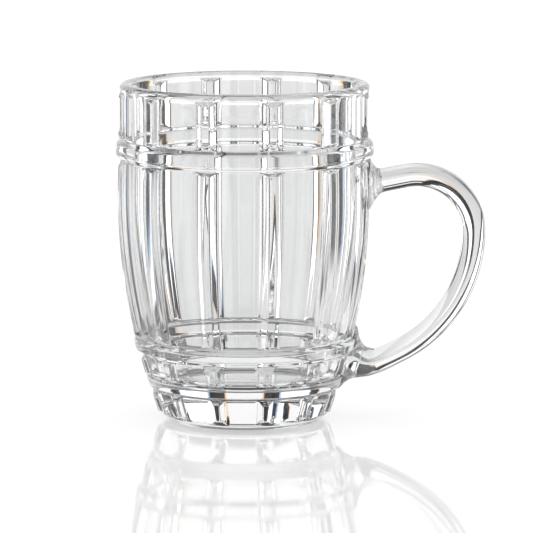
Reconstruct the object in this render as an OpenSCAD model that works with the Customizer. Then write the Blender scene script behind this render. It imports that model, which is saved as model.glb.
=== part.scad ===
// Barrel tea mug of clear pressed glass with an applied loop handle.
// Units are millimetres. The mug stands on z = 0 and its axis is the Z axis.
// The handle lies in the plane y = 0, on the +X side.

/* [Barrel] */
// Height of the mug from the table to the top of the rim
mug_height = 108; // [95:1:125]
// Widest radius of the plain wall between the bars
belly_radius = 40; // [36:0.5:46]
// Height at which the wall is widest
belly_height = 73; // [66:1:78]
// Radius of the barrel curve of the wall, seen from the side
barrel_curve = 194; // [170:2:230]
// Thickness of the glass wall
wall = 4.3; // [3:0.1:6]
// Thickness of the solid glass under the cup
base_thickness = 13; // [9:0.5:18]
// Rounding between the inner floor and the inner wall
floor_round = 7; // [4:0.5:10]
// How far the rounded rim stands out from the straight neck
rim_overhang = 0.25; // [0.1:0.05:0.5]
// How much thicker the rounded rim is than the wall
rim_swell = 0.1; // [0.05:0.05:0.4]
// Rounding of the edge the mug stands on
foot_round = 1.6; // [1:0.1:2.2]

/* [Hoops] */
// Height of the middle of the upper hoop
upper_hoop_z = 87.1; // [84:0.1:90]
// Height of the middle of the lower hoop
lower_hoop_z = 24.8; // [23:0.1:27]
// Height of the middle of the foot hoop
foot_hoop_z = 12.4; // [11:0.1:13]
// Height of the upper and lower hoops where they meet the wall
hoop_height = 6.6; // [5.6:0.1:7.4]
// Height of the flat face of the upper and lower hoops
hoop_face = 3.8; // [3:0.1:4.4]
// How far the upper and lower hoops stand out from the wall
hoop_depth = 1.7; // [1.2:0.1:2.2]
// Height of the foot hoop where it meets the wall
foot_hoop_height = 4.8; // [4:0.1:5.4]
// Height of the flat face of the foot hoop
foot_hoop_face = 2.9; // [2.2:0.1:3.4]
// How far the foot hoop stands out from the wall
foot_hoop_depth = 0.9; // [0.6:0.1:1.3]

/* [Bars] */
// Number of upright bars round each band
bar_count = 12; // [8:2:14]
// How far the bars are turned away from the handle on either side, in degrees
bar_shift = 2.2; // [0:0.2:4]
// Width of a bar at the wall in the neck and in the main band
bar_width = 6.4; // [5:0.1:7.4]
// Width of a bar at the wall in the two low bands
low_bar_width = 4.6; // [3.8:0.1:5.4]
// Part of a bar's width that is its flat face
bar_face_share = 0.42; // [0.3:0.02:0.55]
// How far a bar stands out from the wall
bar_depth = 1.2; // [0.8:0.1:1.6]
// Plain wall between a bar's end and the hoop, rim or foot
bar_gap = 0.4; // [0.2:0.1:0.8]

/* [Handle] */
// Diameter of the glass rod
rod_diameter = 7.6; // [6.5:0.1:8.5]
// How much wider in radius the rod is in its straight ends
end_swell = 0.08; // [0.05:0.01:0.2]
// Distance from the widest part of the wall to the middle of the rod at its farthest
handle_clear = 33.2; // [30:0.2:38]
// Height at which the rod is farthest out
handle_height = 60.2; // [57:0.2:63]
// Radius of the bend at the top of the handle
top_bend = 18.3; // [16:0.1:20]
// Turn of the bend at the top of the handle, in degrees
top_turn = 101; // [97:0.5:105]
// Radius of the long bend at the back of the handle
back_bend = 43; // [40:0.5:46]
// Turn of the long bend at the back of the handle, in degrees
back_turn = 63.3; // [60:0.3:66]

/* [Handle seals] */
// Hollow rounding of the upper seal between wall and rod
upper_seal_round = 5.5; // [4.5:0.1:6.5]
// Part of the hollow rounding that the upper seal spreads out at the wall
upper_seal_spread = 0.7; // [0.6:0.02:0.8]
// Glass between the upper end of the rod and the wall
upper_seal_core = 2; // [1.4:0.1:2.6]
// How far the lower seal runs out along the rod from the wall
lower_seal_reach = 14.5; // [13.5:0.1:16]
// How far out along the rod the underside of the lower seal turns down to the foot
lower_seal_turn = 9; // [8:0.1:10]
// How far the lower seal runs up the wall above the lower hoop
lower_seal_rise = 1; // [0.4:0.1:2]
// Depth of the hollow curve between the wall and the upper side of the rod
lower_seal_sag = 1.8; // [1:0.1:2.4]
// Width of the lower seal at the wall
lower_seal_width = 11.6; // [10:0.1:13]
// Glass between the lower end of the rod and the wall
lower_seal_core = 7.2; // [6.6:0.1:8]
// How far the seals stand out round the rod
seal_lip = 0.45; // [0.3:0.05:0.7]

/* [Hidden] */
$fn = 96;

// segments of the long curves
long_fn = 720;
// how deep the bars and the upper seal are rooted in the wall before they are merged or cut
root_depth = 1.2;
// room that a cutting shape leaves past what it cuts
spare = 1;

rod_r = rod_diameter / 2;
handle_reach = belly_radius + handle_clear;
end_r = rod_r + end_swell;
seal_r = end_r + seal_lip;
arc_x = belly_radius - barrel_curve;
inner_curve = barrel_curve - wall;
// radius of the plain wall at height z, below the upper hoop
function wall_r(z) = arc_x + sqrt(pow(barrel_curve, 2) - pow(z - belly_height, 2));
// radius of the cup at height z, below the belly
function cup_wall_r(z) = arc_x + sqrt(pow(inner_curve, 2) - pow(z - belly_height, 2));
neck_r = belly_radius - rim_overhang;
cup_r = belly_radius - wall;
rim_round = (wall + rim_swell) / 2;
rim_middle = belly_radius - rim_round;
rim_z = mug_height - rim_round;
foot_r = wall_r(foot_round);
corner_z = base_thickness + floor_round;
corner_x = cup_wall_r(corner_z) - floor_round;

// limits of the four bands of bars
neck_low = upper_hoop_z + hoop_height / 2 + bar_gap;
neck_high = rim_z - sqrt(pow(rim_round, 2) - pow(neck_r - rim_middle, 2)) - bar_gap;
main_low = lower_hoop_z + hoop_height / 2 + bar_gap;
main_high = upper_hoop_z - hoop_height / 2 - bar_gap;
short_low = foot_hoop_z + foot_hoop_height / 2 + bar_gap;
short_high = lower_hoop_z - hoop_height / 2 - bar_gap;
foot_low = foot_round + bar_gap;
foot_high = foot_hoop_z - foot_hoop_height / 2 - bar_gap;

// straight runs of the handle, from the end of each bend towards the wall
top_end = [handle_reach - top_bend + top_bend * cos(top_turn), handle_height + top_bend * sin(top_turn)];
low_end = [handle_reach - back_bend + back_bend * cos(back_turn), handle_height - back_bend * sin(back_turn)];
top_tilt = top_turn - 90;
low_tilt = 90 - back_turn;
// where the straight runs meet the plain wall, by a few steps of correction
function top_z(x) = top_end[1] - (top_end[0] - x) * tan(top_tilt);
function low_z(x) = low_end[1] - (low_end[0] - x) * tan(low_tilt);
top_root_x = wall_r(top_z(belly_radius));
low_root_x = wall_r(low_z(wall_r(low_z(wall_r(low_z(belly_radius))))));
top_root = [top_root_x, top_z(top_root_x)];
low_root = [low_root_x, low_z(low_root_x)];
top_run = (top_end[0] - top_root[0]) / cos(top_tilt);
low_run = (low_end[0] - low_root[0]) / cos(low_tilt);
// a point beside the lower straight run, at a distance along it from the wall and off its middle
function low_point(along, off) = low_root + along * [cos(low_tilt), sin(low_tilt)]
    + off * [-sin(low_tilt), cos(low_tilt)];

// a hoop's section: a flat face, and two slopes that run on as far again inside the wall
module hoop_section(z, height, face, depth) {
    low = [wall_r(z - height / 2), z - height / 2];
    high = [wall_r(z + height / 2), z + height / 2];
    face_low = [wall_r(z - face / 2) + depth, z - face / 2];
    face_high = [wall_r(z + face / 2) + depth, z + face / 2];
    polygon([2 * low - face_low, face_low, face_high, 2 * high - face_high]);
}

// section of the barrel with its hoops, filled in to the axis and without the rounded rim
module barrel_section() {
    intersection() {
        translate([arc_x, belly_height]) circle(r = barrel_curve, $fn = long_fn);
        translate([0, foot_round]) square([2 * belly_radius, upper_hoop_z - foot_round]);
    }
    square([foot_r - foot_round, foot_round + spare]);
    translate([foot_r - foot_round, foot_round]) circle(r = foot_round);
    translate([0, upper_hoop_z - spare]) square([neck_r, rim_z - upper_hoop_z + spare]);
    hoop_section(upper_hoop_z, hoop_height, hoop_face, hoop_depth);
    hoop_section(lower_hoop_z, hoop_height, hoop_face, hoop_depth);
    hoop_section(foot_hoop_z, foot_hoop_height, foot_hoop_face, foot_hoop_depth);
}

// section of the space for the tea, open at the top
module cup_section() {
    intersection() {
        translate([arc_x, belly_height]) circle(r = inner_curve, $fn = long_fn);
        translate([0, corner_z]) square([belly_radius, belly_height - corner_z]);
    }
    translate([corner_x, corner_z]) circle(r = floor_round);
    translate([0, base_thickness]) square([corner_x, floor_round + spare]);
    translate([0, belly_height - spare]) square([cup_r, rim_z - belly_height + 2 * spare]);
}

// a bar's section, x along the mug's radius and y across the bar
module bar_section(width, at) {
    face = width * bar_face_share;
    polygon([[at - root_depth, -width / 2], [at, -width / 2], [at + bar_depth, -face / 2],
        [at + bar_depth, face / 2], [at, width / 2], [at - root_depth, width / 2]]);
}

// side view of a bar, with both ends sloping to the wall
module bar_side(low, high, low_r, high_r) {
    inside = min(low_r, high_r) - root_depth;
    outside = max(low_r, high_r) + bar_depth + spare;
    translate([0, belly_radius, 0]) rotate([90, 0, 0]) linear_extrude(height = 2 * belly_radius)
        polygon([[inside, low + inside - low_r], [outside, low + outside - low_r],
            [outside, high - outside + high_r], [inside, high - inside + high_r]]);
}

// a bar that follows the barrel curve
module curved_bar(low, high, width) {
    start = asin((low - 2 * spare - belly_height) / barrel_curve);
    end = asin((high + 2 * spare - belly_height) / barrel_curve);
    intersection() {
        translate([arc_x, 0, belly_height]) rotate([90, 0, 0]) rotate([0, 0, start])
            rotate_extrude(angle = end - start, $fn = long_fn) bar_section(width, barrel_curve);
        bar_side(low, high, wall_r(low), wall_r(high));
    }
}

// a bar of the straight neck
module neck_bar() {
    intersection() {
        translate([0, 0, neck_low - 2 * spare]) linear_extrude(height = neck_high - neck_low + 4 * spare)
            bar_section(bar_width, neck_r);
        bar_side(neck_low, neck_high, neck_r, neck_r);
    }
}

// places what follows on both sides of the handle, at each bar from the first to the last given
module on_both_sides(first, last) {
    for (side = [0, 1]) mirror([0, side, 0])
        for (i = [first : last]) rotate([0, 0, (i + 0.5) * 360 / bar_count + bar_shift]) children();
}

// the three bars, one above the other, below the upper hoop
module bars_below_neck() {
    curved_bar(main_low, main_high, bar_width);
    curved_bar(short_low, short_high, low_bar_width);
    curved_bar(foot_low, foot_high, low_bar_width);
}

// the barrel with its hoops, without the bars and the cup
module plain_barrel() {
    rotate_extrude() barrel_section();
}

module mug_body() {
    color([0.86, 0.91, 0.93]) union() {
        rotate_extrude() {
            difference() {
                barrel_section();
                cup_section();
            }
            translate([rim_middle, rim_z]) circle(r = rim_round);
        }
        on_both_sides(0, bar_count / 2 - 1) {
            neck_bar();
            bars_below_neck();
        }
    }
}

// the rod's straight run and rounded end, pointing along +Z away from the wall
module rod_end(run, core) {
    dome_z = core + end_r;
    rotate_extrude() {
        translate([0, dome_z]) square([end_r, run - dome_z + spare]);
        intersection() {
            translate([0, dome_z]) circle(r = end_r);
            square([end_r, dome_z]);
        }
    }
}

module at_top_root() {
    translate([top_root[0], 0, top_root[1]]) rotate([0, 90 - top_tilt, 0]) children();
}

module at_low_root() {
    translate([low_root[0], 0, low_root[1]]) rotate([0, 90 - low_tilt, 0]) children();
}

// a bend that starts where the rod is farthest out
module bend(radius, turn) {
    translate([handle_reach - radius, 0, handle_height]) rotate([90, 0, 0])
        rotate_extrude(angle = turn) translate([radius, 0]) circle(r = rod_r);
}

module handle() {
    color([0.82, 0.9, 0.93]) union() {
        at_top_root() rod_end(top_run, upper_seal_core);
        bend(top_bend, top_turn);
        bend(back_bend, -back_turn);
        at_low_root() rod_end(low_run, lower_seal_core);
    }
}

// a flared collar round the rod, with its wide end in the wall
module upper_flare() {
    rooted = 2 * root_depth;
    rotate_extrude() difference() {
        translate([0, -rooted]) square([seal_r + upper_seal_round * upper_seal_spread, rooted + upper_seal_round]);
        translate([seal_r + upper_seal_round, upper_seal_round]) circle(r = upper_seal_round);
    }
}

module upper_handle_seal() {
    color([0.78, 0.87, 0.9]) difference() {
        at_top_root() upper_flare();
        plain_barrel();
        on_both_sides(0, 0) bars_below_neck();
        at_top_root() rod_end(top_run, upper_seal_core);
    }
}

// outline of the lower seal seen from the side, running up the wall over the lower hoop
module lower_seal_side() {
    top = [wall_r(main_low) + bar_depth, main_low + lower_seal_rise];
    end = low_point(lower_seal_reach, seal_r);
    chord = end - top;
    away = [-chord[1], chord[0]] / norm(chord);
    hollow = (pow(norm(chord) / 2, 2) + pow(lower_seal_sag, 2)) / (2 * lower_seal_sag);
    inside = wall_r(foot_high) - wall;
    difference() {
        polygon([[inside, foot_high], [wall_r(foot_high) + seal_lip, foot_high],
            low_root + [rod_r, seal_lip], low_point(lower_seal_turn, -seal_r),
            low_point(lower_seal_reach, -seal_r), end, top, [inside, top[1]]]);
        translate((top + end) / 2 + away * (hollow - lower_seal_sag)) circle(r = hollow);
    }
}

// outline of the lower seal seen from above, widening towards the wall
module lower_seal_plan() {
    end_x = low_point(lower_seal_reach, 0)[0] + rod_diameter;
    wide_x = wall_r(lower_hoop_z) + hoop_depth;
    wide = lower_seal_width / 2;
    polygon([[0, -wide], [wide_x, -wide], [end_x, -seal_r], [end_x, seal_r], [wide_x, wide], [0, wide]]);
}

module lower_handle_seal() {
    color([0.78, 0.87, 0.9]) difference() {
        intersection() {
            translate([0, belly_radius / 2, 0]) rotate([90, 0, 0])
                linear_extrude(height = belly_radius) lower_seal_side();
            linear_extrude(height = belly_height) lower_seal_plan();
        }
        plain_barrel();
        on_both_sides(0, 0) bars_below_neck();
        at_low_root() rod_end(low_run, lower_seal_core);
    }
}

mug_body();
handle();
upper_handle_seal();
lower_handle_seal();
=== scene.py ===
# %% [markdown]
# # A pressed-glass tea mug
# The mug is a barrel of clear glass with three hoops, upright bars, a thick base and a solid glass
# handle. Glass shows only what it bends and mirrors, so two things decide its look: clean surfaces
# with softly rounded edges, and a bright room with a few dark stripes for those edges to pick up.
# The measured model is loaded first: it gives the frame, and each new piece takes one node's place.

# %% Load the measured model
import math

import bmesh
import bpy
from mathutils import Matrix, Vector


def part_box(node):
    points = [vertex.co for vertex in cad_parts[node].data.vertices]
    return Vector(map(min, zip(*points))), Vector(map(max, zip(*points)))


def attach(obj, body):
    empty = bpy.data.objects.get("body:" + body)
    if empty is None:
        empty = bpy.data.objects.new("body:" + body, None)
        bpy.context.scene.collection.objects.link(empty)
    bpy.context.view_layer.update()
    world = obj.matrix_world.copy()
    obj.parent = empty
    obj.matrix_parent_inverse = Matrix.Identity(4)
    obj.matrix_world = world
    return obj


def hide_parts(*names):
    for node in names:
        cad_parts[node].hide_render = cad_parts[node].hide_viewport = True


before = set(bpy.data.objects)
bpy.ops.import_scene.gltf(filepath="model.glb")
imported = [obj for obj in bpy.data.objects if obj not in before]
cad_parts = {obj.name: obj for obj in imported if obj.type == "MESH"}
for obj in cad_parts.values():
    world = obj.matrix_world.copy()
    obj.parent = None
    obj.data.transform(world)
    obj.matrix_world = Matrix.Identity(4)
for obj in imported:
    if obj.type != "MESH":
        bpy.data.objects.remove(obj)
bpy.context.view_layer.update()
body_low, body_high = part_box("mug_body")
print("nodes:", sorted(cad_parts))
print("mug body, mm:", [round(1000 * v, 1) for v in (*body_low, *body_high)])

# %% [markdown]
# ## Sizes
# Lengths are in millimetres, as on a drawing, and are turned into metres at the moment of use. Angles
# are in degrees. The height comes from the loaded model. The wall is one long arc, so a short formula
# gives its radius at any height, and everything that sits on the wall can ask for it.

# %% Sizes of the barrel
MM = 0.001
MUG_HEIGHT = body_high.z / MM
# the wall's arc: its widest radius, the height of that, and the arc's own radius
BELLY_R, BELLY_Z, BARREL_CURVE = 40.0, 73.0, 194.0
ARC_X = BELLY_R - BARREL_CURVE
NECK_R = 39.75
WALL, BASE, FLOOR_ROUND = 4.3, 13.0, 7.0
# width and height of the chamfer under the foot
FOOT_CHAMFER = (2.1, 1.8)
# height of the smooth collar under the rim and of the slope out to it, and the rim's rounding
RIM_COLLAR, COLLAR_SLOPE, RIM_ROUND = 2.4, 0.4, 1.7

# hoops: middle height, height at the wall, height of the face, depth, rounding at wall and at face
UPPER_HOOP = (87.1, 6.6, 3.8, 1.7, 0.9, 1.7)
LOWER_HOOP = (24.2, 5.4, 3.2, 1.6, 0.8, 1.5)
FOOT_HOOP = (12.4, 4.8, 2.9, 0.9, 0.6, 1.0)

# bars: how many, and the angle by which they draw away from the handle
BAR_COUNT, BAR_SHIFT = 12, 2.2
# the angles across a bar at the wall and on its face, and its depth
BAR_BASE, BAR_FACE, BAR_DEPTH = 9.2, 3.8, 1.2
# length of the slope at a bar's end, and of the point in the middle of it
BAR_END, BAR_POINT = 1.4, 0.5


def wall_r(z):
    """Radius of the plain outer wall at height z, below the upper hoop."""
    return ARC_X + math.sqrt(BARREL_CURVE**2 - (z - BELLY_Z) ** 2)


def wall_or_neck(z):
    """Radius of the plain wall or, above the upper hoop, of the straight neck."""
    return NECK_R if z > UPPER_HOOP[0] else wall_r(z)


print("wall radius at foot, belly and neck:", round(wall_r(0), 1), BELLY_R, NECK_R)

# %% [markdown]
# ## Tools for the workbench
# An operator acts on whatever is selected, so each piece starts from an empty selection. A profile is
# drawn as a maker would: one point, extruded from place to place. Points and faces are then picked by
# where they lie, which keeps the later steps readable.

# %% Start a piece and draw a line
def start_piece(name, add, **options):
    """Adds a primitive with nothing else selected and opens it in edit mode."""
    bpy.ops.object.select_all(action="DESELECT")
    add(**options)
    piece = bpy.context.object
    piece.name = name
    bpy.ops.object.mode_set(mode="EDIT")
    bpy.ops.mesh.select_mode(type="VERT")
    bpy.ops.mesh.select_all(action="SELECT")
    return piece


def draw_line(points):
    """Pulls the selected plane together to one vertex and extrudes it along (x, z) points."""
    bpy.ops.mesh.merge(type="CENTER")
    first = points[0]
    bpy.ops.transform.translate(value=(first[0] * MM, 0, first[1] * MM))
    for here, there in zip(points, points[1:]):
        step = ((there[0] - here[0]) * MM, 0, (there[1] - here[1]) * MM)
        bpy.ops.mesh.extrude_region_move(TRANSFORM_OT_translate={"value": step})


# %% Select by place
def select_points(piece, wanted):
    """Selects, in edit mode, each vertex whose place in millimetres passes the test."""
    bpy.ops.mesh.select_mode(type="VERT")
    bpy.ops.mesh.select_all(action="DESELECT")
    mesh = bmesh.from_edit_mesh(piece.data)
    count = 0
    for vert in mesh.verts:
        if wanted(*(vert.co / MM)):
            vert.select_set(True)
            count += 1
    mesh.select_flush(True)
    bmesh.update_edit_mesh(piece.data)
    return count


def select_faces(piece, wanted):
    """Selects, in edit mode, each face whose middle in millimetres passes the test."""
    bpy.ops.mesh.select_mode(type="FACE")
    bpy.ops.mesh.select_all(action="DESELECT")
    mesh = bmesh.from_edit_mesh(piece.data)
    count = 0
    for face in mesh.faces:
        if wanted(*(face.calc_center_median() / MM)):
            face.select_set(True)
            count += 1
    bmesh.update_edit_mesh(piece.data)
    return count


# %% Finish a piece
# points closer than this are one point
SAME_POINT = 0.002


def tidy_shell():
    """Merges doubled points of the piece in edit mode and turns its faces outwards."""
    bpy.ops.mesh.select_all(action="SELECT")
    bpy.ops.mesh.remove_doubles(threshold=SAME_POINT * MM)
    bpy.ops.mesh.normals_make_consistent(inside=False)


def pick(piece):
    """Selects one piece alone and makes it the active one."""
    bpy.ops.object.select_all(action="DESELECT")
    piece.select_set(True)
    bpy.context.view_layer.objects.active = piece


def apply_modifier(piece, kind, **settings):
    """Adds a modifier with these settings and applies it."""
    pick(piece)
    modifier = piece.modifiers.new(kind.title(), kind)
    for key, value in settings.items():
        setattr(modifier, key, value)
    bpy.ops.object.modifier_apply(modifier=modifier.name)


def smooth(piece):
    """Shades a piece smooth, with each point's normal led by its larger faces."""
    pick(piece)
    bpy.ops.object.shade_smooth()
    apply_modifier(piece, "WEIGHTED_NORMAL", weight=50)


# %% [markdown]
# ## The barrel's section
# A pressed mug gets its form from a mould and a plunger, so half a section says nearly all of it. The
# section runs from the middle of the foot, up the outside over the hoops, round the rim, and down the
# inside to the middle of the floor. A row of points is placed wherever a bar begins or ends, because
# the bars will later be pulled out of these rows.

# %% Lines and arcs
def arc_points(centre, radius, start, end, steps):
    """Points along an arc in the upright plane, from one angle to another in degrees."""
    turns = [math.radians(start + (end - start) * i / steps) for i in range(steps + 1)]
    return [(centre[0] + radius * math.cos(t), centre[1] + radius * math.sin(t)) for t in turns]


def spread(start, end, steps):
    """Evenly spread values between two ends, without the ends."""
    return [start + (end - start) * i / steps for i in range(1, steps)]


def rounded(points, radii, steps=6):
    """The line through (x, z) points, with each corner between its ends rounded by its radius."""
    line = []
    for before, corner, after, radius in zip(points, points[1:], points[2:], radii):
        corner = Vector(corner)
        back = (Vector(before) - corner).normalized()
        onward = (Vector(after) - corner).normalized()
        half = back.angle(onward) / 2
        middle = corner + (back + onward).normalized() * radius / math.sin(half)
        first, last = (corner + way * radius / math.tan(half) - middle for way in (back, onward))
        for i in range(steps + 1):
            line.append(tuple(middle + first.slerp(last, i / steps).normalized() * radius))
    return line


# %% Rounded hoops
# a point this far along the wall shows which way the wall runs on
WALL_LEAD = 1


def hoop_rows(hoop):
    """Section of a hoop from low to high: a hollow at the wall, a round face and a hollow again."""
    z, height, face, depth, hollow, edge = hoop
    low, high = z - height / 2, z + height / 2
    face_low, face_high = z - face / 2, z + face / 2
    corners = [
        (wall_r(low - WALL_LEAD), low - WALL_LEAD),
        (wall_r(low), low),
        (wall_r(face_low) + depth, face_low),
        (wall_r(face_high) + depth, face_high),
        (wall_or_neck(high), high),
        (wall_or_neck(high + WALL_LEAD), high + WALL_LEAD),
    ]
    return rounded(corners, (hollow, edge, edge, hollow))


# %% Heights of the four bands between the hoops
FOOT_BAR_LOW = 2.6
BANDS = {
    "foot": (FOOT_BAR_LOW, FOOT_HOOP[0] - FOOT_HOOP[1] / 2),
    "short": (FOOT_HOOP[0] + FOOT_HOOP[1] / 2, LOWER_HOOP[0] - LOWER_HOOP[1] / 2),
    "main": (LOWER_HOOP[0] + LOWER_HOOP[1] / 2, UPPER_HOOP[0] - UPPER_HOOP[1] / 2),
    "neck": (UPPER_HOOP[0] + UPPER_HOOP[1] / 2, MUG_HEIGHT - RIM_COLLAR),
}
# steps along a bar's face in each band
BAND_ROWS = {"foot": 4, "short": 4, "main": 18, "neck": 6}
print("bands, mm:", {name: [round(z, 1) for z in ends] for name, ends in BANDS.items()})


def band_rows(name):
    """Heights between the two ends of a band, with a row where a bar's face begins and ends."""
    low, high = BANDS[name]
    face_low, face_high = low + BAR_END, high - BAR_END
    return [face_low, *spread(face_low, face_high, BAND_ROWS[name]), face_high]


# %% Outer section
chamfer_x, chamfer_z = FOOT_CHAMFER
foot_x = wall_r(chamfer_z) - chamfer_x
outside = [(0, 0), (foot_x / 2, 0), (foot_x, 0)]
outside += [(wall_r(z), z) for z in (chamfer_z, FOOT_BAR_LOW)]
for band, hoop in (("foot", FOOT_HOOP), ("short", LOWER_HOOP), ("main", UPPER_HOOP)):
    outside += [(wall_r(z), z) for z in band_rows(band)] + hoop_rows(hoop)
outside += [(NECK_R, z) for z in band_rows("neck")]
print("points of the outer section:", len(outside))

# %% Rim and inner section
# steps round each corner of the rim, down the straight part of the cup, down its arc and to the floor
RIM_STEPS, CUP_STEPS, ARC_STEPS, FLOOR_STEPS = 8, 8, 16, 9
cup_r = BELLY_R - WALL
rim_z = MUG_HEIGHT - RIM_ROUND
collar_z = MUG_HEIGHT - RIM_COLLAR
rim = [(NECK_R, collar_z), (BELLY_R, collar_z + COLLAR_SLOPE)]
rim += arc_points((BELLY_R - RIM_ROUND, rim_z), RIM_ROUND, 0, 90, RIM_STEPS)
rim += arc_points((cup_r + RIM_ROUND, rim_z), RIM_ROUND, 90, 180, RIM_STEPS)

inner_curve = BARREL_CURVE - WALL
floor_z = BASE + FLOOR_ROUND
floor_x = ARC_X + math.sqrt((inner_curve - FLOOR_ROUND) ** 2 - (floor_z - BELLY_Z) ** 2)
floor_lean = math.degrees(math.asin((floor_z - BELLY_Z) / (inner_curve - FLOOR_ROUND)))
inside = [(cup_r, z) for z in spread(rim_z, BELLY_Z, CUP_STEPS)]
inside += arc_points((ARC_X, BELLY_Z), inner_curve, 0, floor_lean, ARC_STEPS)
inside += arc_points((floor_x, floor_z), FLOOR_ROUND, floor_lean, -90, FLOOR_STEPS)[1:]
inside += [(floor_x / 2, BASE), (0, BASE)]
print("points of the rim and the inner section:", len(rim), len(inside))

# %% [markdown]
# ## Spinning the barrel
# The section is spun round the axis in unequal steps: narrow ones across each bar and wider ones
# across the plain panel between two bars. The bars mirror each other across the handle's plane, so
# the panel under the handle is a little wider than the others and the one opposite a little narrower.

# %% Angles of the bars
PANEL_STEPS = 14
spacing = 360 / BAR_COUNT
half = [spacing * (i + 0.5) + BAR_SHIFT for i in range(BAR_COUNT // 2)]
bar_angles = sorted(half + [360 - a for a in half])
side = (BAR_BASE - BAR_FACE) / 2
turns = []
for here, there in zip(bar_angles, bar_angles[1:] + [bar_angles[0] + 360]):
    panel = there - here - BAR_BASE
    turns += [(BAR_FACE / 2, 1), (side, 1), (panel, PANEL_STEPS), (side, 1), (BAR_FACE / 2, 1)]
print("bars at", [round(a, 1) for a in bar_angles])

# %% Spin the section
barrel = start_piece("mug_body_glass", bpy.ops.mesh.primitive_plane_add, size=MM)
draw_line(outside + rim + inside)
bpy.ops.mesh.select_all(action="SELECT")
bpy.ops.transform.rotate(
    value=-math.radians(bar_angles[0]), orient_axis="Z", center_override=(0, 0, 0)
)
for angle, steps in turns:
    bpy.ops.mesh.spin(steps=steps, angle=-math.radians(angle), center=(0, 0, 0), axis=(0, 0, 1))
tidy_shell()
print("barrel faces:", len(bmesh.from_edit_mesh(barrel.data).faces))

# %% [markdown]
# ## Raising the bars
# Each bar is a raised strip with a narrow flat face and sloping sides, and both ends slope down as
# well, with a small point in the middle. Bars could be set on as pieces of their own, but they are
# one glass with the wall. So the strip's inner points are pushed out along their normals, which gives
# the slopes. The corner faces are then split along the mitre, and the face's ends drawn to a point.

# %% Push the faces of the bars outwards
# how far a place may lie inside the wall, beside a bar's face in degrees, and beyond its rows
NEAR_WALL, NEAR_FACE, NEAR_ROW = 0.5, 0.1, 0.05


def off_bar(x, y):
    """Angle in degrees from the middle of the nearest bar."""
    angle = math.degrees(math.atan2(y, x)) % 360
    return min(abs((angle - bar + 180) % 360 - 180) for bar in bar_angles)


def outer(x, y, z):
    """Whether a place lies near the outer wall."""
    return math.hypot(x, y) > wall_or_neck(z) - NEAR_WALL


def on_face(x, y, z):
    """Whether a place lies on the flat face of a bar."""
    if off_bar(x, y) > BAR_FACE / 2 + NEAR_FACE or not outer(x, y, z):
        return False
    faces = [(low + BAR_END, high - BAR_END) for low, high in BANDS.values()]
    return any(low - NEAR_ROW < z < high + NEAR_ROW for low, high in faces)


def at_corner(x, y, z):
    """Whether the middle of a face lies at the corner of a bar's end."""
    if not BAR_FACE / 2 < off_bar(x, y) < BAR_BASE / 2 or not outer(x, y, z):
        return False
    slopes = [(low, low + BAR_END) for low, high in BANDS.values()]
    slopes += [(high - BAR_END, high) for low, high in BANDS.values()]
    return any(low < z < high for low, high in slopes)


print("points raised:", select_points(barrel, on_face))
bpy.ops.transform.shrink_fatten(value=BAR_DEPTH * MM)
print("corners split:", select_faces(barrel, at_corner))
bpy.ops.mesh.quads_convert_to_tris(quad_method="LONGEST_DIAGONAL", ngon_method="BEAUTY")

# %% Draw the ends of the faces to a point
# a tip lies this near to its row, and a raised place this far out from the wall
NEAR_TIP, RAISED = 0.45, 0.6


def raised(x, y, z):
    """Whether a place stands out from the wall as the face of a bar does."""
    return math.hypot(x, y) > wall_or_neck(z) + RAISED


def tip_test(upper):
    """A test for the middle point of each bar face's upper or lower end."""
    ends = [high - BAR_END if upper else low + BAR_END for low, high in BANDS.values()]

    def at_tip(x, y, z):
        in_row = any(abs(z - end) < NEAR_TIP for end in ends)
        return in_row and off_bar(x, y) < NEAR_FACE and raised(x, y, z)

    return at_tip


for upper in (False, True):
    found = select_points(barrel, tip_test(upper))
    bpy.ops.transform.translate(value=(0, 0, BAR_POINT * MM * (1 if upper else -1)))
    print("upper tips:" if upper else "lower tips:", found)
bpy.ops.object.mode_set(mode="OBJECT")

# %% [markdown]
# ## Fire-polished edges
# Pressed glass has no sharp edges: the flame that polishes it lets every edge flow. The hoops and the
# rim have their rounding from the section. The bars get theirs from a Bevel modifier, and it draws
# the fine dark and bright lines along them. A bevel on every crease would be held to the width that
# fits the closest rows of points, so only the bars' own edges are given a bevel weight.

# %% Round the edges of the bars
# width and steps of the rounding, and the angle from which an edge is a crease
EDGE_ROUND, ROUND_STEPS, CREASE = 0.45, 3, 14.0
# an edge that rises less than this is level
LEVEL = 0.1


def select_creases(piece):
    """Selects, in edit mode, the creases along the sides, mitres and faces of the bars."""
    bpy.ops.mesh.select_mode(type="EDGE")
    bpy.ops.mesh.select_all(action="DESELECT")
    mesh = bmesh.from_edit_mesh(piece.data)
    count = 0
    for edge in mesh.edges:
        ends = [vert.co / MM for vert in edge.verts]
        slanting = abs(ends[0].z - ends[1].z) > LEVEL
        on_top = all(raised(*end) for end in ends)
        if edge.calc_face_angle(0) > math.radians(CREASE) and (slanting or on_top):
            edge.select_set(True)
            count += 1
    bmesh.update_edit_mesh(piece.data)
    return count


bpy.ops.object.mode_set(mode="EDIT")
print("creases:", select_creases(barrel))
bpy.ops.transform.edge_bevelweight(value=1)
bpy.ops.object.mode_set(mode="OBJECT")
apply_modifier(
    barrel,
    "BEVEL",
    width=EDGE_ROUND * MM,
    segments=ROUND_STEPS,
    limit_method="WEIGHT",
    use_clamp_overlap=True,
)
smooth(barrel)
print("barrel faces with rounded edges:", len(barrel.data.polygons))

# %% [markdown]
# ## The handle
# The handle is one glass rod, bent while hot. A curve with a round section could make it, but its
# ends change their form where they were pressed on. So a circle stands at the rod's farthest point
# and is spun both ways, with a tight bend to the top and a long one to the bottom. At the top it runs
# on to a shallow dome. At the bottom it is carried on, ring by ring, to an end that slants as the
# wall does.

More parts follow.
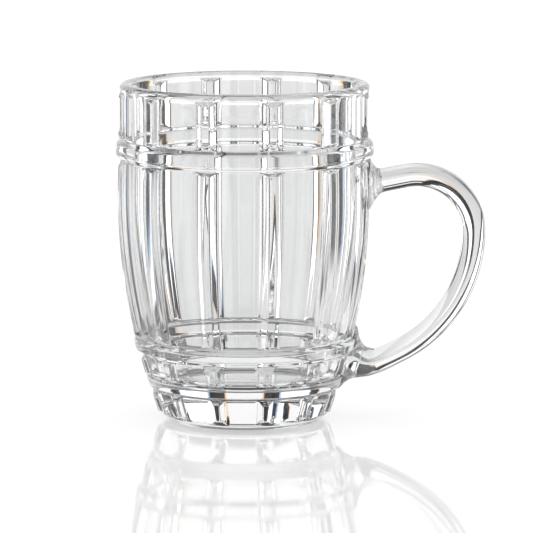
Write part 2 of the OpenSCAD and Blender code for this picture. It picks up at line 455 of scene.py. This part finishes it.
# %% Sizes of the rod
# radius of the rod, and at its upper end
ROD_R, END_R = 3.8, 3.88
REACH = (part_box("handle")[1].x / MM) - ROD_R
HANDLE_Z = 60.2
# each bend's radius and the angle it turns through
TOP_BEND, TOP_TURN = 18.3, 101.0
BACK_BEND, BACK_TURN = 43.0, 63.3


def bend_end(radius, turn):
    """Place (x, z) where a bend ends, its turn counted upwards from the farthest point."""
    t = math.radians(turn)
    return REACH - radius + radius * math.cos(t), HANDLE_Z + radius * math.sin(t)


def way_in(tilt):
    """Direction of a straight run to the mug that falls by a tilt in degrees."""
    t = math.radians(tilt)
    return Vector((-math.cos(t), 0, -math.sin(t)))


top_end, low_end = bend_end(TOP_BEND, TOP_TURN), bend_end(BACK_BEND, -BACK_TURN)
top_way, low_way = way_in(TOP_TURN - 90), way_in(90 - BACK_TURN)
print("bends end at, mm:", [round(v, 1) for v in (*top_end, *low_end)])

# %% Where the upper run meets the wall
# the way left is walked this many times, by this share
WALKS, PACE = 30, 0.9
# the rod stops this far from the wall, and the seal fills the rest
TOP_CORE = 2.0


def meet_wall(start, way):
    """Distance from start along way, in the handle's plane, to the plain wall."""
    distance = 0.0
    for _ in range(WALKS):
        x, z = start[0] + way.x * distance, start[1] + way.z * distance
        distance += (x - wall_r(z)) * PACE
    return distance


top_run = meet_wall(top_end, top_way) - TOP_CORE
print("straight run at the top, mm:", round(top_run, 1))

# %% [markdown]
# ## From ring to ring
# The ends of the rod and the seals widen, lean and flatten as they go. Each is a row of rings, and a
# ring is its centre, its direction, its half height and its half width. The selected ring is extruded
# and then moved, turned and resized to the next one, with smooth steps in between.

# %% Helpers for rings
def low_ring(top, bottom, wide):
    """A ring near the lower seal, from its highest and lowest point (x, z) and its half width."""
    high, low = Vector((top[0], 0, top[1])), Vector((bottom[0], 0, bottom[1]))
    upright = high - low
    way = Vector((upright.z, 0, -upright.x)).normalized()
    return (high + low) / 2, way, upright.length / 2, wide


def between(a, b, c, d, t):
    """A value at the share t of the way from b to c, led smoothly by a and d on either side."""
    bend, twist = 2 * a - 5 * b + 4 * c - d, 3 * b - a - 3 * c + d
    return 0.5 * (2 * b + (c - a) * t + bend * t**2 + twist * t**3)


def finer(rings, steps=4):
    """The same rings with smooth ones put in between."""
    rows = [(c.x, c.z, math.atan2(w.x, w.z), tall, wide) for c, w, tall, wide in rings]
    rows = [rows[0], *rows, rows[-1]]
    smooth_rows = []
    for four in zip(rows, rows[1:], rows[2:], rows[3:]):
        for i in range(steps):
            smooth_rows.append([between(*values, i / steps) for values in zip(*four)])
    smooth_rows.append(rows[-1])
    return [
        (Vector((x, 0, z)), Vector((math.sin(turn), 0, math.cos(turn))), tall, wide)
        for x, z, turn, tall, wide in smooth_rows
    ]


def next_ring(before, after):
    """Extrudes the selected ring to the next one, moved, turned and resized."""
    (c0, w0, t0, s0), (c1, w1, t1, s1) = before, after
    bpy.ops.mesh.extrude_region_move(TRANSFORM_OT_translate={"value": (c1 - c0) * MM})
    old, new = math.atan2(w0.x, w0.z), math.atan2(w1.x, w1.z)
    middle = c1 * MM
    bpy.ops.transform.rotate(value=old, orient_axis="Y", center_override=middle)
    bpy.ops.transform.resize(value=(t1 / t0, s1 / s0, 1), center_override=middle)
    bpy.ops.transform.rotate(value=-new, orient_axis="Y", center_override=middle)


def close_end(rings):
    """Carries the selected ring through the rings that follow and closes the last one."""
    for before, after in zip(rings, rings[1:]):
        next_ring(before, after)
    bpy.ops.mesh.extrude_region_move(TRANSFORM_OT_translate={"value": (0, 0, 0)})
    bpy.ops.mesh.merge(type="CENTER")


# %% The two ends of the rod
TOP_DOME, DOME_STEPS = 1.9, 7
top_mid = Vector((top_end[0], 0, top_end[1]))
dome_start = top_run - TOP_DOME
top_rings = [
    (top_mid, -top_way, ROD_R, ROD_R),
    (top_mid + top_way * dome_start, -top_way, END_R, END_R),
]
for i in range(1, DOME_STEPS):
    t = math.radians(90 * i / DOME_STEPS)
    cap_r = END_R * math.cos(t)
    cap_mid = top_mid + top_way * (dome_start + TOP_DOME * math.sin(t))
    top_rings.append((cap_mid, -top_way, cap_r, cap_r))

# the straight run at the bottom and the radius at its end. The rings after it turn towards the wall,
# widen a little and close.
LOW_RUN, LOW_RUN_R = 5.2, 3.83
low_mid = Vector((low_end[0], 0, low_end[1]))
low_rings = [
    (low_mid, -low_way, ROD_R, ROD_R),
    (low_mid + low_way * LOW_RUN, -low_way, LOW_RUN_R, LOW_RUN_R),
    low_ring((41.0, 22.05), (41.2, 13.85), 4.0),
    low_ring((39.5, 22.4), (38.2, 13.3), 4.2),
    low_ring((38.5, 22.7), (35.4, 13.2), 4.4),
    low_ring((37.75, 22.3), (34.5, 13.55), 4.2),
    low_ring((37.15, 21.2), (34.3, 14.6), 3.2),
    low_ring((36.7, 19.6), (34.8, 16.0), 1.8),
]
print("rings at the top and at the bottom:", len(top_rings), len(low_rings))

# %% Bend the rod
ROD_SIDES, BEND_STEPS = 48, 34
# a place on the first ring lies this near to its height
NEAR_RING = 0.01


def spin_bend(radius, turn):
    """Spins the selected ring round a bend, upwards for a positive turn in degrees."""
    bpy.ops.mesh.spin(
        steps=BEND_STEPS,
        angle=math.radians(turn),
        center=((REACH - radius) * MM, 0, HANDLE_Z * MM),
        axis=(0, 1, 0),
    )


rod = start_piece(
    "handle_glass",
    bpy.ops.mesh.primitive_circle_add,
    vertices=ROD_SIDES,
    radius=ROD_R * MM,
    location=(REACH * MM, 0, HANDLE_Z * MM),
)
bpy.ops.object.mode_set(mode="OBJECT")
bpy.ops.object.transform_apply(location=True)
bpy.ops.object.mode_set(mode="EDIT")
bpy.ops.mesh.select_all(action="SELECT")
spin_bend(TOP_BEND, TOP_TURN)
close_end(top_rings)
select_points(rod, lambda x, y, z: abs(z - HANDLE_Z) < NEAR_RING and x > REACH - 2 * ROD_R)
spin_bend(BACK_BEND, -BACK_TURN)
close_end(finer(low_rings))
tidy_shell()
bpy.ops.object.mode_set(mode="OBJECT")
smooth(rod)
corners = [rod.matrix_world @ Vector(c) for c in rod.bound_box]
for end, name in ((min, "low"), (max, "high")):
    print("rod's", name, "corner, mm:", [round(1000 * end(c[i] for c in corners), 1) for i in range(3)])

# %% [markdown]
# ## The seals
# Two gathers of molten glass hold the rod. Each is shaped round the rod's axis and then cut to the
# curve of the wall and to the rod by a Boolean, with the faintest overlap, so that light passes from
# one piece to the next as it does where glass has flowed together.

# %% Cutters for the wall and the rod
OVERLAP, CUTTER_STEPS = 0.06, 120
wall_cutter = start_piece("wall_cutter", bpy.ops.mesh.primitive_plane_add, size=MM)
draw_line([(max(x - OVERLAP, 0), z) for x, z in outside] + [(0, outside[-1][1])])
bpy.ops.mesh.select_all(action="SELECT")
bpy.ops.mesh.spin(steps=CUTTER_STEPS, angle=math.tau, center=(0, 0, 0), axis=(0, 0, 1))
tidy_shell()
bpy.ops.object.mode_set(mode="OBJECT")

pick(rod)
bpy.ops.object.duplicate()
rod_cutter = bpy.context.object
rod_cutter.name = "rod_cutter"
bpy.ops.object.mode_set(mode="EDIT")
bpy.ops.mesh.select_all(action="SELECT")
bpy.ops.transform.shrink_fatten(value=-OVERLAP * MM)
bpy.ops.object.mode_set(mode="OBJECT")
print("cutter faces:", len(wall_cutter.data.polygons), len(rod_cutter.data.polygons))

# %% Shape a seal and fit it
SEAL_CREASE = 35


def loft(name, rings, sides=64):
    """A filled circle, carried from ring to ring."""
    centre, way, tall, wide = rings[0]
    turn = math.atan2(way.x, way.z)
    add_circle = bpy.ops.mesh.primitive_circle_add
    piece = start_piece(name, add_circle, vertices=sides, radius=MM, fill_type="NGON")
    bpy.ops.transform.resize(value=(tall, wide, 1))
    bpy.ops.transform.rotate(value=-turn, orient_axis="Y", center_override=(0, 0, 0))
    bpy.ops.transform.translate(value=centre * MM)
    for before, after in zip(rings, rings[1:]):
        next_ring(before, after)
    tidy_shell()
    bpy.ops.object.mode_set(mode="OBJECT")
    return piece


def fit_seal(seal):
    """Cuts a seal to the wall and to the rod, and shades all but its sharp edges smooth."""
    for cutter in (wall_cutter, rod_cutter):
        apply_modifier(seal, "BOOLEAN", object=cutter, operation="DIFFERENCE", solver="EXACT")
    bpy.ops.object.mode_set(mode="EDIT")
    tidy_shell()
    bpy.ops.object.mode_set(mode="OBJECT")
    bpy.ops.object.shade_smooth_by_angle(angle=math.radians(SEAL_CREASE))


# %% [markdown]
# ### The upper seal
# The rod's upper end was pressed straight on, and the soft glass spread like a trumpet. Its rings
# widen towards the wall by the square of the way, which leaves a thin lip on the rod, and go on
# widening behind the wall's surface, where the cutter takes them away.

# %% A flare round the rod
# length on the rod, rise at the wall, and rings outside and inside the wall
FLARE_LENGTH, FLARE_RISE, FLARE_STEPS, ROOT_STEPS = 3.9, 4.6, 18, 10
# height of the lip over the rod, and the slope by which the rings widen behind the wall's surface
FLARE_LIP, ROOT_SLOPE = 0.04, 0.65
top_root = top_mid + top_way * (top_run + TOP_CORE)
flare = []
for i in range(-ROOT_STEPS, FLARE_STEPS + 1):
    share = i / FLARE_STEPS
    out, back = max(share, 0), min(share, 0)
    radius = END_R + FLARE_LIP + FLARE_RISE * (1 - out) ** 2 - ROOT_SLOPE * FLARE_LENGTH * back
    lean = Vector((1, 0, 0)).lerp(-top_way, out).normalized()
    flare.append((top_root - top_way * FLARE_LENGTH * share, lean, radius, radius))
upper_seal = loft("upper_handle_seal_glass", flare)
fit_seal(upper_seal)
print("upper seal faces:", len(upper_seal.data.polygons))

# %% [markdown]
# ### The lower seal
# At the bottom the glass was pushed up and down the wall, over the two hoops, and drawn out along the
# rod. Its rings are tall and slanting at the wall and become the rod's own round farther out.

# %% A thick gather that runs up the wall
GATHER_STEPS = 5
gather = [
    low_ring((32.5, 31.0), (26.0, 8.4), 6.3),
    low_ring((35.9, 29.6), (30.0, 9.4), 6.0),
    low_ring((36.6, 26.6), (31.9, 11.2), 5.7),
    low_ring((37.5, 24.4), (34.0, 12.5), 5.2),
    low_ring((38.7, 23.0), (36.8, 12.95), 4.7),
    low_ring((40.0, 22.5), (39.4, 13.3), 4.3),
    low_ring((41.4, 22.2), (41.8, 14.0), 4.0),
]
lower_seal = loft("lower_handle_seal_glass", finer(gather, GATHER_STEPS))
fit_seal(lower_seal)
print("lower seal faces:", len(lower_seal.data.polygons))
for cutter in (wall_cutter, rod_cutter):
    bpy.data.objects.remove(cutter)

# %% [markdown]
# ## Glass
# Clear soda-lime glass has no colour of its own beyond a breath of grey, an index of refraction of
# 1.5 and a fire-polished surface. A pressed surface is never perfectly true, so a broad and very
# shallow waviness bends what is seen through it. Both glasses have it, in their own sizes, so it is a
# node group, built once. Light passes through glass, so its shadow stays light.

# %% Waviness for both glasses
waviness = bpy.data.node_groups.new("waviness", "ShaderNodeTree")
waviness.interface.new_socket("Scale", in_out="INPUT", socket_type="NodeSocketFloat")
waviness.interface.new_socket("Height", in_out="OUTPUT", socket_type="NodeSocketFloat")
given = waviness.nodes.new("NodeGroupInput")
place = waviness.nodes.new("ShaderNodeTexCoord")
noise = waviness.nodes.new("ShaderNodeTexNoise")
noise.inputs["Detail"].default_value = 1.0
result = waviness.nodes.new("NodeGroupOutput")
waviness.links.new(given.outputs["Scale"], noise.inputs["Scale"])
waviness.links.new(place.outputs["Object"], noise.inputs["Vector"])
waviness.links.new(noise.outputs["Fac"], result.inputs["Height"])
print("nodes in the waviness:", len(waviness.nodes))

# %% The glass
GLASS_TINT, SHADOW_TINT = (0.985, 0.988, 0.99, 1), (0.95, 0.955, 0.96, 1)
# index of refraction, and depth of the waves
GLASS_IOR, WAVE_DEPTH = 1.5, 0.0008


def clear_glass(name, wave_size):
    """Clear glass with a waviness of this size and a light shadow."""
    material = bpy.data.materials.new(name)
    material.use_nodes = True
    nodes, links = material.node_tree.nodes, material.node_tree.links
    nodes.clear()
    output = nodes.new("ShaderNodeOutputMaterial")
    glass = nodes.new("ShaderNodeBsdfPrincipled")
    glass.inputs["Base Color"].default_value = GLASS_TINT
    glass.inputs["Roughness"].default_value = 0.0
    glass.inputs["IOR"].default_value = GLASS_IOR
    glass.inputs["Transmission Weight"].default_value = 1.0
    waves = nodes.new("ShaderNodeGroup")
    waves.node_tree = waviness
    waves.inputs["Scale"].default_value = 1 / (wave_size * MM)
    bump = nodes.new("ShaderNodeBump")
    bump.inputs["Strength"].default_value = 1.0
    bump.inputs["Distance"].default_value = WAVE_DEPTH * MM
    links.new(waves.outputs["Height"], bump.inputs["Height"])
    links.new(bump.outputs["Normal"], glass.inputs["Normal"])
    clear = nodes.new("ShaderNodeBsdfTransparent")
    clear.inputs["Color"].default_value = SHADOW_TINT
    path = nodes.new("ShaderNodeLightPath")
    mix = nodes.new("ShaderNodeMixShader")
    links.new(path.outputs["Is Shadow Ray"], mix.inputs["Fac"])
    links.new(glass.outputs["BSDF"], mix.inputs[1])
    links.new(clear.outputs["BSDF"], mix.inputs[2])
    links.new(mix.outputs["Shader"], output.inputs["Surface"])
    return material


# %% Glass on the pieces
pressed = clear_glass("pressed_glass", wave_size=24.0)
drawn = clear_glass("drawn_rod_glass", wave_size=18.0)
pieces = {
    "mug_body": (barrel, pressed),
    "handle": (rod, drawn),
    "upper_handle_seal": (upper_seal, drawn),
    "lower_handle_seal": (lower_seal, drawn),
}
for node, (piece, material) in pieces.items():
    piece.data.materials.clear()
    piece.data.materials.append(material)
    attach(piece, "root")
    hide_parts(node)
print("glass on", len(pieces), "pieces")

# %% [markdown]
# ## Table
# The mug stands on a pale polished table that mirrors it softly. A plane is enough, a hair under the
# mug so that the two don't share a surface. Where the table is seen, straight, in a mirror or through
# glass, it also glows a little, which brings it near the white of the room.

# %% Helpers for node trees
# the colour sockets of a Mix node, by number because their names repeat
MIX_FIRST, MIX_SECOND, MIX_RESULT = 6, 7, 2
WHITE = (1, 1, 1, 1)


def feed(tree, socket, value):
    """Links another node's output to a socket, or gives it a constant."""
    if isinstance(value, bpy.types.NodeSocket):
        tree.links.new(value, socket)
    else:
        socket.default_value = value


def maths(tree, operation, *values):
    """The output of a Math node that is fed these values."""
    node = tree.nodes.new("ShaderNodeMath")
    node.operation = operation
    for socket, value in zip(node.inputs, values):
        feed(tree, socket, value)
    return node.outputs["Value"]


def mix_colours(tree, share, first, second, blend="MIX"):
    """The output of a Mix node that goes from the first colour to the second by a share."""
    node = tree.nodes.new("ShaderNodeMix")
    node.data_type = "RGBA"
    node.blend_type = blend
    feed(tree, node.inputs[0], share)
    feed(tree, node.inputs[MIX_FIRST], first)
    feed(tree, node.inputs[MIX_SECOND], second)
    return node.outputs[MIX_RESULT]


# %% The table
# side in metres, depth under the mug, and glow where it is seen
TABLE_SIZE, TABLE_DEPTH, TABLE_LIFT = 6, 0.05, 0.32
bpy.ops.object.select_all(action="DESELECT")
bpy.ops.mesh.primitive_plane_add(size=TABLE_SIZE, location=(0, 0, -TABLE_DEPTH * MM))
table = bpy.context.object
table.name = "table"
table_finish = bpy.data.materials.new("pale_polished_table")
table_finish.use_nodes = True
tree = table_finish.node_tree
gloss = tree.nodes["Principled BSDF"]
gloss.inputs["Base Color"].default_value = (0.9, 0.9, 0.9, 1)
gloss.inputs["Roughness"].default_value = 0.05
gloss.inputs["IOR"].default_value = 1.4
gloss.inputs["Emission Color"].default_value = WHITE
rays = tree.nodes.new("ShaderNodeLightPath").outputs
seen = maths(tree, "MAXIMUM", rays["Is Camera Ray"], rays["Is Transmission Ray"])
seen_or_mirrored = maths(tree, "MAXIMUM", seen, rays["Is Glossy Ray"])
lift = maths(tree, "MULTIPLY", seen_or_mirrored, TABLE_LIFT)
feed(tree, gloss.inputs["Emission Strength"], lift)
table.data.materials.append(table_finish)
print("table, m:", TABLE_SIZE)

# %% [markdown]
# ## Room light
# A white room lights the mug from all sides. Clear glass in plain white would have no lines at all,
# so the room has a dark band high up for the glass to pick up, and its ceiling is dark for light that
# has passed through glass, which draws the rim. The camera itself sees plain white.

# %% Colour ramps
def grey(level):
    """A grey of this level as red, green and blue."""
    return (level, level, level)


def ramp_at(tree, value, rows):
    """The output of a colour ramp at a value. Rows are (place, colour), and the last ends the ramp."""
    node = tree.nodes.new("ShaderNodeValToRGB")
    stops = node.color_ramp.elements
    end = rows[-1][0]
    stops[0].position, stops[0].color = rows[0][0] / end, (*rows[0][1], 1)
    stops[1].position, stops[1].color = 1.0, (*rows[-1][1], 1)
    for place, colour in rows[1:-1]:
        stops.new(place / end).color = (*colour, 1)
    feed(tree, node.inputs["Fac"], value)
    return node.outputs["Color"]


# %% The white room
# levels by height, from 0 straight down to 1 straight up
SKY = [(0, 1.0), (0.73, 1.0), (0.77, 0.05), (0.87, 0.05), (0.91, 1.0), (1, 1.0)]
CEILING, CEILING_LEVEL = 0.77, 0.03
world = bpy.data.worlds.new("white_room")
bpy.context.scene.world = world
world.use_nodes = True
tree = world.node_tree
axes = tree.nodes.new("ShaderNodeSeparateXYZ")
feed(tree, axes.inputs["Vector"], tree.nodes.new("ShaderNodeTexCoord").outputs["Generated"])
height = maths(tree, "MULTIPLY_ADD", axes.outputs["Z"], 0.5, 0.5)
sky = ramp_at(tree, height, [(place, grey(level)) for place, level in SKY])
rays = tree.nodes.new("ShaderNodeLightPath").outputs
ceiling = maths(tree, "GREATER_THAN", height, CEILING)
through_glass = maths(tree, "MULTIPLY", ceiling, rays["Is Transmission Ray"])
dim = mix_colours(tree, through_glass, sky, (*grey(CEILING_LEVEL), 1))
seen = mix_colours(tree, rays["Is Camera Ray"], dim, WHITE)
feed(tree, tree.nodes["Background"].inputs["Color"], seen)
feed(tree, tree.nodes["Background"].inputs["Strength"], 1.0)
print("room levels:", SKY)

# %% [markdown]
# ## Striped surround
# The fine dark lines in clear glass are bent pictures of dark things beside it. Dark cards would do,
# but from another side they would stand in the wrong place. Here two clear films carry the stripes
# all round: a curtain that stands about the mug, and a mat on the table. Only light that has passed
# through glass meets them. They are hidden from the camera, shadows, mirrors and diffuse light.

# %% Stripes
# radius and height of the surround in metres
SURROUND_R, SURROUND_HEIGHT = 1.5, 1.6
WARM, COOL = (1.0, 0.72, 0.45), (0.45, 0.68, 1.0)
# lines that run outwards from the mug, the half width of the clear lane along each, and the shortest
# way along one, in metres, that is divided by
LINES, CLEAR_LANE, SHORTEST = 8, 28, 0.001
# by slope away from the lane: clear film, a dark stripe with coloured edges, and clear film beyond
STRIPES = [
    (0, grey(1.0)),
    (0.095, grey(1.0)),
    (0.108, WARM),
    (0.12, grey(0.02)),
    (0.225, grey(0.02)),
    (0.238, COOL),
    (0.25, grey(1.0)),
    (0.5, grey(1.0)),
]


def film_places(tree):
    """Outputs for a place on a film: x, height, distance from the middle and slope off a lane."""
    axes = tree.nodes.new("ShaderNodeSeparateXYZ")
    feed(tree, axes.inputs["Vector"], tree.nodes.new("ShaderNodeTexCoord").outputs["Object"])
    x, y = axes.outputs["X"], axes.outputs["Y"]
    sector = math.tau / LINES
    sectors = maths(tree, "DIVIDE", maths(tree, "ARCTAN2", x, y), sector)
    off_line = maths(tree, "SUBTRACT", sectors, maths(tree, "ROUND", sectors))
    off_line = maths(tree, "MULTIPLY", maths(tree, "ABSOLUTE", off_line), sector)
    squares = [maths(tree, "MULTIPLY", side, side) for side in (x, y)]
    distance = maths(tree, "SQRT", maths(tree, "ADD", *squares))
    along = maths(tree, "MULTIPLY", distance, maths(tree, "COSINE", off_line))
    lane = maths(tree, "DIVIDE", CLEAR_LANE * MM, maths(tree, "MAXIMUM", along, SHORTEST))
    slope = maths(tree, "SUBTRACT", maths(tree, "TANGENT", off_line), lane)
    return x, axes.outputs["Z"], distance, slope


print("dark stripes:", 2 * LINES)

# %% Clear film under the handle
# on the mat the bands fade out along x towards the handle
HANDLE_SIDE = (15, 65)
# the stripes are cleared along x between these two, and as far from the middle as the third
HANDLE_NEAR, HANDLE_FAR, HANDLE_VIEW = (25, 45), (110, 140), (280, 380)


def falling(tree, value, start, end):
    """1 up to start and 0 from end on, both in millimetres."""
    share = maths(tree, "DIVIDE", maths(tree, "SUBTRACT", end * MM, value), (end - start) * MM)
    return maths(tree, "MINIMUM", maths(tree, "MAXIMUM", share, 0), 1)


def clear_handle_side(tree, x, distance, stripes, last_band):
    """The stripes, cleared under the handle, and the share that the bands keep, which falls on the
    handle's side but is whole from the last band on."""
    beside = maths(tree, "SUBTRACT", 1, falling(tree, x, *HANDLE_NEAR))
    beside = maths(tree, "MULTIPLY", beside, falling(tree, x, *HANDLE_FAR))
    under_handle = maths(tree, "MULTIPLY", beside, falling(tree, distance, *HANDLE_VIEW))
    far = maths(tree, "GREATER_THAN", distance, last_band * MM)
    banded = maths(tree, "MAXIMUM", falling(tree, x, *HANDLE_SIDE), far)
    return mix_colours(tree, under_handle, stripes, WHITE), banded


# %% Film
# bands above this level count as bright
BRIGHT_BAND = 0.8


def film_finish(name, bands, glow_strength, near_glow=0.0, upright=False):
    """A clear film with stripes and with bands, given by their height on an upright film or else by
    their distance from the middle. The film beyond the stripes glows, and the brightest bands do so
    by near_glow, as a table does where glass gathers light on it."""
    finish = bpy.data.materials.new(name)
    finish.use_nodes = True
    tree = finish.node_tree
    tree.nodes.clear()
    x, z, distance, slope = film_places(tree)
    stripes = ramp_at(tree, maths(tree, "DIVIDE", slope, STRIPES[-1][0]), STRIPES)
    measure = maths(tree, "ADD", z, SURROUND_HEIGHT / 2) if upright else distance
    levels = [(place, grey(level)) for place, level in bands]
    rings = ramp_at(tree, maths(tree, "DIVIDE", measure, bands[-1][0] * MM), levels)
    banded = 1.0
    if not upright:
        stripes, banded = clear_handle_side(tree, x, distance, stripes, bands[-2][0])
    film = tree.nodes.new("ShaderNodeBsdfTransparent")
    feed(tree, film.inputs["Color"], mix_colours(tree, banded, stripes, rings, "MULTIPLY"))
    beyond = maths(tree, "GREATER_THAN", slope, STRIPES[-2][0])
    beyond = maths(tree, "MULTIPLY", beyond, glow_strength)
    bright = maths(tree, "GREATER_THAN", rings, BRIGHT_BAND)
    bright = maths(tree, "MULTIPLY", bright, near_glow)
    glow = tree.nodes.new("ShaderNodeEmission")
    feed(tree, glow.inputs["Strength"], maths(tree, "MAXIMUM", beyond, bright))
    lit_film = tree.nodes.new("ShaderNodeAddShader")
    feed(tree, lit_film.inputs[0], film.outputs["BSDF"])
    feed(tree, lit_film.inputs[1], glow.outputs["Emission"])
    output = tree.nodes.new("ShaderNodeOutputMaterial")
    feed(tree, output.inputs["Surface"], lit_film.outputs["Shader"])
    return finish


def dress_film(piece, name, finish):
    """Names a film, gives it its finish and hides it from all but light that came through glass."""
    piece.name = name
    piece.data.materials.append(finish)
    piece.visible_camera = False
    piece.visible_shadow = False
    piece.visible_diffuse = False
    piece.visible_glossy = False


# %% Curtain
FILM_SIDES = 96
CURTAIN_GLOW = 0.6
# bands as height and level
CURTAIN_BANDS = [
    (0, 1), (470, 1), (500, 0.03), (630, 0.03), (660, 1), (800, 1), (830, 0.03), (1600, 0.03),
]
bpy.ops.object.select_all(action="DESELECT")
bpy.ops.mesh.primitive_cylinder_add(
    vertices=FILM_SIDES, radius=SURROUND_R, depth=SURROUND_HEIGHT, end_fill_type="NOTHING"
)
bpy.ops.transform.translate(value=(0, 0, SURROUND_HEIGHT / 2))
curtain_film = film_finish("curtain_film", CURTAIN_BANDS, CURTAIN_GLOW, upright=True)
dress_film(bpy.context.object, "striped_curtain", curtain_film)
print("curtain bands:", len(CURTAIN_BANDS))

# %% Mat
# glow beyond the stripes, glow on the bright bands that is painted light gathered under and round the
# mug's base, and depth under the mug
MAT_GLOW, MAT_NEAR_GLOW, MAT_DEPTH = 1.0, 0.15, 0.02
# bands as distance from the middle and level; the dark ring between 20 and 36 mm, round the foot's
# edge, is painted shade under the mug
MAT_BANDS = [
    (0, 0.85), (20, 0.85), (24, 0.3), (28, 0.1), (32, 0.1), (36, 0.9), (64, 0.9), (70, 0.25),
    (128, 0.2), (134, 0.7), (300, 0.7),
]
bpy.ops.object.select_all(action="DESELECT")
bpy.ops.mesh.primitive_circle_add(
    vertices=FILM_SIDES, radius=SURROUND_R, fill_type="NGON", location=(0, 0, -MAT_DEPTH * MM)
)
mat_film = film_finish("mat_film", MAT_BANDS, MAT_GLOW, MAT_NEAR_GLOW)
dress_film(bpy.context.object, "striped_mat", mat_film)
print("mat bands:", len(MAT_BANDS))

# %% [markdown]
# ## Camera
# The camera stands well back with a long lens, a little above the rim. The lens follows from the
# width that the picture shows at the mug. A ray crosses many surfaces of glass, so it is allowed
# many bounces before it is given up as black.

# %% Set up the camera
# metres back from the mug and up from the table, and the point in the middle of the picture
CAMERA_BACK, CAMERA_UP = 1.5, 0.262
AIM = Vector((0.0069, 0, 0.0488))
# width of a pixel at the mug, and the picture's width in pixels
MM_PER_PIXEL, FRAME_PIXELS = 0.32, 533
# the sensor's width, and the far end of the view in metres
SENSOR, CLIP_END = 36, 20
GLASS_BOUNCES, MIRROR_BOUNCES = 24, 12
camera_data = bpy.data.cameras.new("camera")
camera = bpy.data.objects.new("camera", camera_data)
bpy.context.scene.collection.objects.link(camera)
camera.location = (AIM.x, -CAMERA_BACK, CAMERA_UP)
look = AIM - camera.location
camera.rotation_euler = look.to_track_quat("-Z", "Y").to_euler()
camera_data.sensor_width = SENSOR
camera_data.lens = SENSOR * look.length / (MM_PER_PIXEL * MM * FRAME_PIXELS)
camera_data.clip_end = CLIP_END
bpy.context.scene.camera = camera
bpy.context.scene.view_settings.view_transform = "Standard"
bpy.context.scene.cycles.max_bounces = GLASS_BOUNCES
bpy.context.scene.cycles.transmission_bounces = GLASS_BOUNCES
bpy.context.scene.cycles.glossy_bounces = MIRROR_BOUNCES
print("lens, mm:", round(camera_data.lens, 1))
